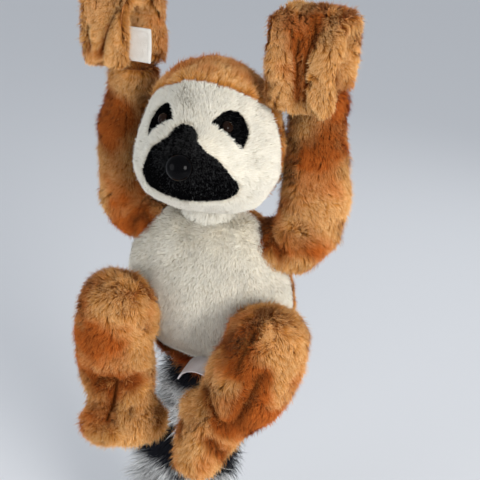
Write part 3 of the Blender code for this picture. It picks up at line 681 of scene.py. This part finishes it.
def fibre_piece(name, points, along, normals, segments, shade, fold_and_shade, slot):
    count, rows = points.shape[:2]
    first = np.arange(count)[:, None] * rows
    quads = [first + np.array([2 * j, 2 * j + 1, 2 * j + 3, 2 * j + 2]) for j in range(segments - 1)]
    tip = first + np.array([2 * segments - 2, 2 * segments - 1, 2 * segments])
    loops = np.concatenate(quads + [tip], axis=1)
    per_fibre = [4] * (segments - 1) + [3]
    starts = np.concatenate([[0], np.cumsum(per_fibre)[:-1]])
    face_starts = (np.arange(count)[:, None] * loops.shape[1] + starts).ravel()
    mesh = bpy.data.meshes.new(name)
    mesh.vertices.add(count * rows)
    mesh.loops.add(loops.size)
    mesh.polygons.add(len(face_starts))
    mesh.vertices.foreach_set("co", points.astype(np.float32).ravel())
    mesh.loops.foreach_set("vertex_index", loops.astype(np.int32).ravel())
    mesh.polygons.foreach_set("loop_start", face_starts.astype(np.int32))
    mesh.update(calc_edges=True)
    # tip runs along each fibre; the second value is its share of painted shade in the deep colours, and
    # tuft its random tone with painted shade in folds
    for attribute, values in (("tip", along.ravel()), ("painted_shade", np.repeat(fold_and_shade, rows)),
                              ("tuft", np.repeat(shade, rows))):
        made = mesh.attributes.new(attribute, "FLOAT", "POINT")
        made.data.foreach_set("value", values.astype(np.float32))
    cells = math.ceil(math.sqrt(count))
    corner = np.stack([np.arange(count) % cells, np.arange(count) // cells], axis=1) / cells
    across = np.tile([0.2, 0.8], rows)[:rows]
    inside = np.stack([np.tile(across, (count, 1)), 0.1 + 0.8 * along], axis=2) / cells
    maps = (corner[:, None, :] + inside).reshape(-1, 2)[loops.ravel()]
    mesh.uv_layers.new(name=BAKE_MAP).data.foreach_set("uv", maps.astype(np.float32).ravel())
    mesh.shade_smooth()
    soft = np.repeat(normals, rows, axis=0)
    own = vertex_normals(mesh)
    blended = unit(soft * SKIN_NORMALS + own * (1.0 - SKIN_NORMALS))
    mesh.normals_split_custom_set_from_vertices(blended.tolist())
    mesh.materials.append(PILES[slot])
    piece = new_piece(name, mesh)
    return piece


def node_tree(*nodes):
    """A tree that finds the nearest point of some CAD nodes."""
    verts, faces = [], []
    for node in nodes:
        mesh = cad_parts[node].data
        faces += [[i + len(verts) for i in p.vertices] for p in mesh.polygons]
        verts += [v.co for v in mesh.vertices]
    return BVHTree.FromPolygons(verts, faces)


def distances(tree, points):
    return np.array([tree.find_nearest(Vector(p))[3] for p in points])


def over(skin, test):
    """A mask over the skin's vertices: 1 where the test of their places holds."""
    return test(coordinates(skin.data)).astype(float)


def dress(skin, body, nodes, piles, bodies=None):
    """Hide the CAD nodes that a skin and its pile replace, and attach them to their body; with bodies
    given, bake their placement into their meshes instead.
    """
    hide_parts(*nodes)
    for piece in [skin, *piles]:
        if bodies:
            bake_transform(piece)
        else:
            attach(piece, body)


def back_with(skin, *slots):
    """The cloth that a skin's pile is knitted into."""
    skin.data.materials.clear()
    for slot in slots:
        skin.data.materials.append(BACKINGS[slot])


def shade_faces(skin, second):
    """Give the skin's second material to the faces whose middles the test picks."""
    middles = np.array([p.center for p in skin.data.polygons])
    picked = second(middles)
    skin.data.polygons.foreach_set("material_index", picked.astype(np.int32))


# Torso

BELLY_PILE = 0.0055
BELLY_WIDTH = 0.00048
BACK_PILE = 0.0080
SEAT_PILE = 0.0300         # longer pile under the seat, round the tail's root
SEAT_WIDTH = 0.00060
SEAT_HEIGHT = 0.034
SEAT_MIDDLE = -0.010       # where that pile is longest, in X, and how far to each side it stays long
SEAT_SPREAD = 0.026
SEAT_SIDES = 0.35          # its length at the sides, as a share
NECK_PILE = 0.0080
NECK_FIBRES = 12000
seam_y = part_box("belly_panel")[1].y

torso = wrap("torso_plush", ["belly_panel", "back_panel"], 0.0055, 0.0034, 10, hull=True)
fill(torso, 0.004)
refine(torso)
lumps(torso, 0.055, 0.0008, 11)
back_with(torso, "cream_pile", "tan_pile")
shade_faces(torso, lambda middles: middles[:, 1] > seam_y)
belly_pile = grow("belly_pile", torso, FIBRES, BELLY_PILE, BELLY_WIDTH, 0.90, (0.0, 0.1, -1.0), 21,
                  "cream_pile", over(torso, lambda points: points[:, 1] <= seam_y), sway=0.30,
                  gather=0.06, ruffle=0.07)
back_pile = grow("back_pile", torso, 60000, BACK_PILE, FIBRE_WIDTH, 0.65, (0.0, 0.1, -1.0), 22,
                 "tan_pile", over(torso, lambda points: points[:, 1] > seam_y))
torso_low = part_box("back_panel")[0].z


def on_seat(points):
    return (points[:, 2] < torso_low + SEAT_HEIGHT) & (points[:, 1] > seam_y - SEAT_HEIGHT / 2)


def seat_length(points):
    """The seat's pile is longest in the middle."""
    middle = np.exp(-((points[:, 0] - SEAT_MIDDLE) / SEAT_SPREAD) ** 2)
    return SEAT_SIDES + (1.0 - SEAT_SIDES) * middle


# The seat's pile has painted shade in the deep colours, for the shade between the legs.
seat_pile = grow("seat_pile", torso, 20000, SEAT_PILE, SEAT_WIDTH, 0.6, (0.0, -0.25, -1.0), 26,
                 "tan_pile", over(torso, on_seat), segments=3, extra_shade=0.6, thinning=seat_length)
dress(torso, "torso", ["belly_panel", "back_panel", "torso_filling"],
      [belly_pile, back_pile, seat_pile])

neck = wrap("neck_plush", ["neck_filling"], 0.0040, 0.0, 2)
refine(neck)
neck_middle = (sum(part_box("neck_filling"), Vector()) / 2).y
back_with(neck, "cream_pile", "tan_pile")
shade_faces(neck, lambda middles: middles[:, 1] > neck_middle)
neck_pile = grow("neck_pile", neck, NECK_FIBRES, NECK_PILE, FIBRE_WIDTH, 0.8, (0.0, 0.0, -1.0), 23,
                 "cream_pile", over(neck, lambda points: points[:, 1] <= neck_middle))
nape_pile = grow("nape_pile", neck, NECK_FIBRES, NECK_PILE, FIBRE_WIDTH, 0.8, (0.0, 0.0, -1.0), 27,
                 "tan_pile", over(neck, lambda points: points[:, 1] > neck_middle))
dress(neck, "neck", ["neck_filling"], [neck_pile, nape_pile])


# Head

FACE_PILE = 0.0052
CAP_PILE = 0.0100
PATCH_EDGE = 0.0010        # a root this near a patch lies under it
CAP_BEHIND = 0.016         # the tan cap also covers the head from this far behind its middle
PATCH_MIDDLE = 0.0009      # halfway between a CAD patch's inner and outer face, from the face panel
PATCH_TOP = 0.0014
PATCH_BOTTOM = 0.0001
PATCH_PILE = 0.0024
PATCH_CUTS = (0.006, 0.003, 0.0018)
WELD = 0.00002

head = wrap("head_plush", ["face_panel", "head_cap", "head_filling"], 0.0040, 0.0032, 7)
fill(head, 0.003)
refine(head)
lumps(head, 0.045, 0.0005, 12)
cap_tree, face_tree = node_tree("head_cap"), node_tree("face_panel")
head_middle = (sum(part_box("head_filling"), Vector()) / 2).y


def on_cap(points):
    nearer = distances(cap_tree, points) < distances(face_tree, points)
    return nearer | (points[:, 1] > head_middle + CAP_BEHIND)


def patch(node, name):
    """A thin pad laid on the finished head in the CAD patch's outline."""
    surface = mesh_tree(head.data)
    bm = bmesh.new()
    bm.from_mesh(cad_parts[node].data)
    bmesh.ops.remove_doubles(bm, verts=bm.verts, dist=WELD)
    cut_finer(bm, PATCH_CUTS)
    for vert in bm.verts:
        outer = face_tree.find_nearest(vert.co)[3] > PATCH_MIDDLE
        place, normal, _, _ = surface.find_nearest(vert.co)
        vert.co = place + normal * (PATCH_TOP if outer else PATCH_BOTTOM)
    piece = piece_of(name, bm)
    piece.data.shade_smooth()
    back_with(piece, "black_pile")
    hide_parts(node)
    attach(piece, "head")
    return piece


patches = [patch("muzzle_patch", "muzzle_patch_plush"),
           patch("eye_patch_left", "eye_patch_left_plush"),
           patch("eye_patch_right", "eye_patch_right_plush")]


def under_patch(points):
    near = np.full(len(points), np.inf)
    for pad in patches:
        near = np.minimum(near, distances(mesh_tree(pad.data), points))
    return near < PATCH_EDGE


cap_mask = over(head, on_cap)
back_with(head, "cream_pile", "tan_pile")
shade_faces(head, on_cap)
face_pile = grow("face_pile", head, FIBRES, FACE_PILE, FINE_WIDTH, 0.90, (0.0, 0.9, -0.1), 24,
                 "cream_pile", (1.0 - cap_mask) * (1.0 - over(head, under_patch)), sway=0.35,
                 gather=0.06, ruffle=0.07)
cap_pile = grow("cap_pile", head, FIBRES, CAP_PILE, FIBRE_WIDTH, 0.65, (0.0, 0.8, -0.3), 25, "tan_pile",
                cap_mask)
dress(head, "head", ["face_panel", "head_cap", "head_filling"],
      [face_pile, cap_pile])
for pad, number, count in zip(patches, (31, 32, 33), (30000, 9000, 9000)):
    fibres = grow(pad.name + "_pile", pad, count, PATCH_PILE, FINE_WIDTH, 0.85, (0.0, 0.3, -0.8), number,
                  "black_pile", stray=0.02)
    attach(fibres, "head")


# Arms and hands

LIMB_SINK = 0.0056
LIMB_PILE = 0.0105


def limb_comb(roots):
    """The pile lies down and a little outward."""
    return np.stack([0.25 * np.sign(roots[:, 0]), np.full(len(roots), -0.15),
                     np.full(len(roots), -1.0)], 1)


# Places are shares of the CAD node's box: across from its inner side, and up from its bottom.
ARM_PAINTED_SHADE = {           # where shade and shadow are painted on the arms' pile, also shorter there: place, radius, amount
    "left": [((0.75, 0.80), 0.026, 0.45), ((0.60, 0.85), 0.018, 0.40), ((0.25, 0.20), 0.014, 0.75)],
    "right": [((0.60, 0.55), 0.030, 0.45), ((0.40, 0.75), 0.022, 0.60)],
}
ARM_SWELLS = {             # direction, amount, and the heights that it lies between
    "left": [((-0.9, 0.0, -0.4), 0.0080, -0.215, -0.045), ((0.5, 0.0, -0.8), 0.0030, -0.230, -0.120)],
    "right": [],
}
ARM_CREASE = [(0.20, 0.25), (0.35, 0.20), (0.45, 0.15)]
for side in ("left", "right"):
    seed = 13 if side == "left" else 14
    nodes = [f"arm_skin_{side}", f"arm_filling_{side}"]
    arm = wrap(f"arm_{side}_plush", nodes, 0.0042, LIMB_SINK, 8)
    fill(arm, 0.003)
    refine(arm)
    for swelling in ARM_SWELLS[side]:
        swell(arm, *swelling)
    lumps(arm, 0.045, 0.0012, seed)
    crease(arm, spots(arm, nodes[0], ARM_CREASE), 0.0015, 0.0040)
    # painted shade and shadow on the pile
    for place, radius, amount in ARM_PAINTED_SHADE[side]:
        shorten_and_shade_pile(arm, spot(arm, nodes[0], *place), radius, amount)
    back_with(arm, "tan_pile")
    arm_pile = grow(f"arm_{side}_pile", arm, FIBRES, LIMB_PILE, FIBRE_WIDTH, 0.72, limb_comb, seed + 28,
                    "tan_pile", stray=0.12)
    dress(arm, f"arm_{side}", nodes, [arm_pile])

HAND_BEND = (0.0100, -0.0106)  # where the hand starts and ends its bend, in Y
HAND_PILE = 0.0088
start_y, end_y = HAND_BEND
HAND_CREASES = {           # between the fingers, on the front of each hand
    "left": [[(0.45, 0.75), (0.45, 0.45), (0.50, 0.15)], [(0.65, 0.90), (0.60, 0.50), (0.60, 0.15)]],
    "right": [[(0.20, 0.80), (0.30, 0.60), (0.50, 0.20)], [(0.75, 0.50), (0.75, 0.25)]],
}
for side in ("left", "right"):
    seed = 15 if side == "left" else 16
    nodes = [f"hand_palm_{side}", f"hand_fingers_{side}"]
    hand = wrap(f"hand_{side}_plush", nodes, 0.0034, 0.0040, 7)
    fill(hand, 0.0025)
    refine(hand)
    for line in HAND_CREASES[side]:
        crease(hand, spots(hand, nodes[1], line), 0.0024, 0.0026)
    lumps(hand, 0.034, 0.0011, seed)
    back_with(hand, "tan_pile")
    # The hands' pile has less painted shade and fewer deep patches.
    hand_pile = grow(f"hand_{side}_pile", hand, FIBRES, HAND_PILE, FIBRE_WIDTH, 0.75, limb_comb,
                     seed + 28, "tan_pile", ruffle=0.25, extra_shade=-0.55)
    dress(hand, None, nodes, [hand_pile],
          bodies=(f"arm_{side}", f"fingers_{side}", (0.0, start_y, 0.0), (0.0, end_y, 0.0)))


# Legs and feet

LEG_CREASES = {            # node, line, depth, width: ankle, folded thigh and shin, between the toes
    "left": [("leg_skin_left", [(0.55, 0.87), (0.50, 0.68)], 0.0022, 0.0040),
             ("leg_skin_left", [(0.70, 0.65), (0.63, 0.50), (0.53, 0.28)], 0.0040, 0.0048),
             ("leg_skin_left", [(0.20, 0.42), (0.30, 0.33), (0.42, 0.24)], 0.0060, 0.0048),
             ("foot_skin_left", [(0.70, 0.70), (0.80, 0.58), (0.85, 0.40)], 0.0022, 0.0030)],
    "right": [("leg_skin_right", [(0.05, 0.33), (0.30, 0.36), (0.62, 0.35)], 0.0120, 0.0070),
              ("leg_skin_right", [(0.30, 0.20), (0.33, 0.14)], 0.0014, 0.0020),
              ("leg_skin_right", [(0.15, 0.20), (0.15, 0.14)], 0.0014, 0.0020)],
}
LEG_PAINTED_SHADE = {           # where shade is painted on the pile over the leg's skin, also shorter there: place, radius, amount
    "left": [((0.50, 0.73), 0.016, 0.40), ((0.58, 0.34), 0.016, 0.40), ((0.22, 0.40), 0.008, 0.80),
             ((0.33, 0.30), 0.008, 0.80)],
    "right": [((0.80, 0.87), 0.018, 0.45), ((0.55, 0.70), 0.020, 0.30), ((0.58, 0.38), 0.012, 1.00),
              ((0.38, 0.39), 0.012, 1.00), ((0.18, 0.37), 0.011, 0.95)],
}
for side in ("left", "right"):
    seed = 17 if side == "left" else 18
    nodes = [f"{part}_{kind}_{side}" for part in ("leg", "foot") for kind in ("skin", "filling")]
    leg = wrap(f"leg_{side}_plush", nodes, 0.0044, LIMB_SINK, 6)
    fill(leg, 0.003)
    refine(leg)
    lumps(leg, 0.045, 0.0012, seed)
    for node, line, depth, width in LEG_CREASES[side]:
        crease(leg, spots(leg, node, line), depth, width)
    # painted shade in the creases and folds
    for place, radius, amount in LEG_PAINTED_SHADE[side]:
        shorten_and_shade_pile(leg, spot(leg, nodes[0], *place), radius, amount)
    back_with(leg, "tan_pile")
    # a little less painted shade and fewer deep patches
    leg_pile = grow(f"leg_{side}_pile", leg, 80000, LIMB_PILE, FIBRE_WIDTH, 0.72, limb_comb, seed + 28,
                    "tan_pile", stray=0.12, extra_shade=-0.12)
    dress(leg, f"leg_{side}", nodes, [leg_pile])


# Tail

TAIL_PILE = 0.044
TAIL_ROOT_PILE = 0.024     # on the first ring
TAIL_WIDTH = 0.0009
TAIL_SHORTEST = 0.3        # of the pile's length, where there is least room for it
TAIL_COMB = unit(np.array([[-0.10, -0.05, -1.0]]))[0]
TIP_ROOM = 0.010           # how far the pile may hang below the CAD model, and stand behind it
BACK_ROOM = -0.003
TAIL_LAG = 0.022           # how far the long pile hangs below its roots
tail = wrap("tail_plush", ["tail_filling"], 0.0040, 0.0010, 4)
refine(tail)
back_with(tail, "pale_tail_pile", "dark_tail_pile")
RINGS = sorted(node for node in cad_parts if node.startswith("tail_ring_"))
ring_trees = [node_tree(ring) for ring in RINGS]


def ring_of(points):
    """The number of the ring whose pile grows at each point of the tail's core, to hang in its ring."""
    shown = points + TAIL_COMB * TAIL_LAG
    return np.argmin([distances(tree, shown) for tree in ring_trees], axis=0)


ring_numbers = ring_of(coordinates(tail.data))
shade_faces(tail, lambda middles: ring_of(middles) % 2 == 1)


def tail_length(points):
    """The tail's pile is shorter at its tip and behind, where it would stand out of the model's box."""
    room = np.minimum(points[:, 2] - cad_low.z + TIP_ROOM, cad_high.y + BACK_ROOM - points[:, 1])
    return np.clip(room / TAIL_PILE, TAIL_SHORTEST, 1.0)


ring_piles = []
for number, ring in enumerate(RINGS):
    piece = grow(f"{ring}_pile", tail, 16000, TAIL_PILE if number else TAIL_ROOT_PILE, TAIL_WIDTH, 0.95,
                 TAIL_COMB, 51 + number, "dark_tail_pile" if number % 2 else "pale_tail_pile",
                 (ring_numbers == number).astype(float),
                 segments=3, tuft_size=0.007, gather=0.48, ruffle=0.60, sway=0.4, stray=0.22,
                 thinning=tail_length)
    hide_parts(ring)
    ring_piles.append(piece)
dress(tail, "tail", ["tail_filling"], ring_piles)


# Nose and eyes: polished domes on their CAD buttons' places

BUTTON_SINK = 0.0016       # how far the pressed-in buttons sit below their CAD places
DOME_HEIGHT = 0.75         # of a button's radius, and how much of that its back has
BACK_HEIGHT = 0.90


def dome(node, name, material):
    """A smooth button where the CAD button is; its axis runs from the washer to the farthest point."""
    points = coordinates(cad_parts[node].data)
    washer = coordinates(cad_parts[f"{node}_washer"].data).mean(0)
    apex = points[np.linalg.norm(points - washer, axis=1).argmax()]
    axis = (apex - washer) / np.linalg.norm(apex - washer)
    up_axis = (points - washer) @ axis
    radius = np.linalg.norm(points - washer - up_axis[:, None] * axis, axis=1).max()
    bm = bmesh.new()
    bmesh.ops.create_uvsphere(bm, u_segments=48, v_segments=24, radius=1.0)
    for vert in bm.verts:
        flat = BACK_HEIGHT if vert.co.z < 0.0 else 1.0
        vert.co = Vector((vert.co.x * radius, vert.co.y * radius,
                          vert.co.z * radius * DOME_HEIGHT * flat))
    placement = Vector(axis).to_track_quat("Z", "Y").to_matrix().to_4x4()
    placement.translation = Vector(apex - axis * (radius * DOME_HEIGHT + BUTTON_SINK))
    bm.transform(placement)
    piece = piece_of(name, bm)
    piece.data.shade_smooth()
    piece.data.materials.append(material)
    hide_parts(node)
    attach(piece, "head")


dome("nose", "nose_dome", NOSE_PLASTIC)
dome("eye_left", "eye_left_dome", EYE_PLASTIC)
dome("eye_right", "eye_right_dome", EYE_PLASTIC)
for node in ("nose_washer", "eye_left_washer", "eye_right_washer"):
    for material_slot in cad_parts[node].material_slots:
        material_slot.material = WASHER_PLASTIC


# Grip tapes and care label

TAPE_LIFT = 0.0006
TAPE_BOW = 0.0016          # how far the tape's edges bend away from its middle
STITCH_AT = 0.43           # of the tape's side, from its middle
STITCH_WIDTH = 0.02
STITCH_DEPTH = 0.0005


def tape(node, name, body):
    """A square of grip tape with a stitched border, bowed a little as the hand bends it."""
    low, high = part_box(node)
    size = high - low
    bm = bmesh.new()
    bmesh.ops.create_grid(bm, x_segments=28, y_segments=28, size=0.5)
    for vert in bm.verts:
        x, z = vert.co.x, vert.co.y
        edge = max(abs(x), abs(z))
        stitch = math.exp(-((edge - STITCH_AT) / STITCH_WIDTH) ** 2)
        y = TAPE_LIFT - TAPE_BOW * (x * x + z * z) * 4 - STITCH_DEPTH * stitch
        vert.co = Vector(((low.x + high.x) / 2 + x * size.x, high.y + y,
                          (low.z + high.z) / 2 + z * size.z))
    piece = piece_of(name, bm)
    piece.data.shade_smooth()
    piece.data.materials.append(TAPE)
    thick = piece.modifiers.new("thickness", "SOLIDIFY")
    thick.thickness = size.y
    thick.offset = 0.0
    applied(piece)
    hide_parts(node)
    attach(piece, body)


tape("loop_patch_right", "loop_tape", "fingers_right")
tape("hook_patch_left", "hook_tape", "fingers_left")


LABEL_CUTS = (0.008, 0.004, 0.002)
LABEL_HANG = 0.02          # how far down the label its waves reach their full size
LABEL_WAVE_OUT = 0.0014
LABEL_WAVE_SIDE = 0.0007
LABEL_SHARP = math.radians(50.0)


def label():
    """The blank care label: satin folded over, and wavier towards its lower end."""
    bm = bmesh.new()
    bm.from_mesh(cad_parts["care_label"].data)
    cut_finer(bm, LABEL_CUTS)
    piece = piece_of("care_label_satin", bm)
    mesh = piece.data
    points = coordinates(mesh)
    hang = np.clip((points[:, 2].max() - points[:, 2]) / LABEL_HANG, 0.0, 1.0)
    points[:, 1] += LABEL_WAVE_OUT * waves(points * np.array([1.0, 0.0, 1.0]), 0.020, 61) * hang
    points[:, 0] += LABEL_WAVE_SIDE * waves(points * np.array([0.0, 0.0, 1.0]), 0.014, 62) * hang
    set_coordinates(mesh, points)
    mesh.shade_smooth()
    mesh.set_sharp_from_angle(angle=LABEL_SHARP)
    mesh.materials.append(SATIN)
    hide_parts("care_label")
    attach(piece, "torso")


label()


# Floor and light

FLOOR_DROP = 0.05          # below the lowest point, because the toy hangs
FLOOR_RADIUS = 14.0
FLOOR_ROUGHNESS = 0.9
FLOOR_COLOUR = (0.80, 0.815, 0.84, 1.0)
SKY_COLOUR = (0.90, 0.94, 1.0, 1.0)
SKY_STRENGTH = 0.56
bm = bmesh.new()
bmesh.ops.create_circle(bm, cap_ends=True, segments=64, radius=FLOOR_RADIUS)
floor = piece_of("floor", bm)
floor.location = (0.0, 0.0, cad_low.z - FLOOR_DROP)
floor_material, _, _, floor_shader = material_tools("floor_paint")
floor_shader.inputs["Base Color"].default_value = FLOOR_COLOUR
floor_shader.inputs["Roughness"].default_value = FLOOR_ROUGHNESS
floor.data.materials.append(floor_material)


TOY_MIDDLE = (cad_low + cad_high) / 2


def area_light(name, place, size, power, colour):
    """A round light that faces the toy."""
    light = bpy.data.lights.new(name, "AREA")
    light.shape = "DISK"
    light.size = size
    light.energy = power
    light.color = colour
    lamp = bpy.data.objects.new(name, light)
    lamp.location = place
    lamp.rotation_mode = "QUATERNION"
    lamp.rotation_quaternion = (TOY_MIDDLE - Vector(place)).to_track_quat("-Z", "Y")
    scene.collection.objects.link(lamp)


area_light("key", (1.5, -1.1, 0.35), 0.8, 30.0, (1.0, 0.98, 0.95))
area_light("fill", (-1.2, -1.4, 0.1), 1.2, 9.0, (0.95, 0.97, 1.0))
area_light("rim", (0.3, 1.4, 0.5), 1.0, 3.0, (1.0, 1.0, 1.0))
world = bpy.data.worlds.new("studio")
world.use_nodes = True
world.node_tree.nodes["Background"].inputs["Color"].default_value = SKY_COLOUR
world.node_tree.nodes["Background"].inputs["Strength"].default_value = SKY_STRENGTH
scene.world = world
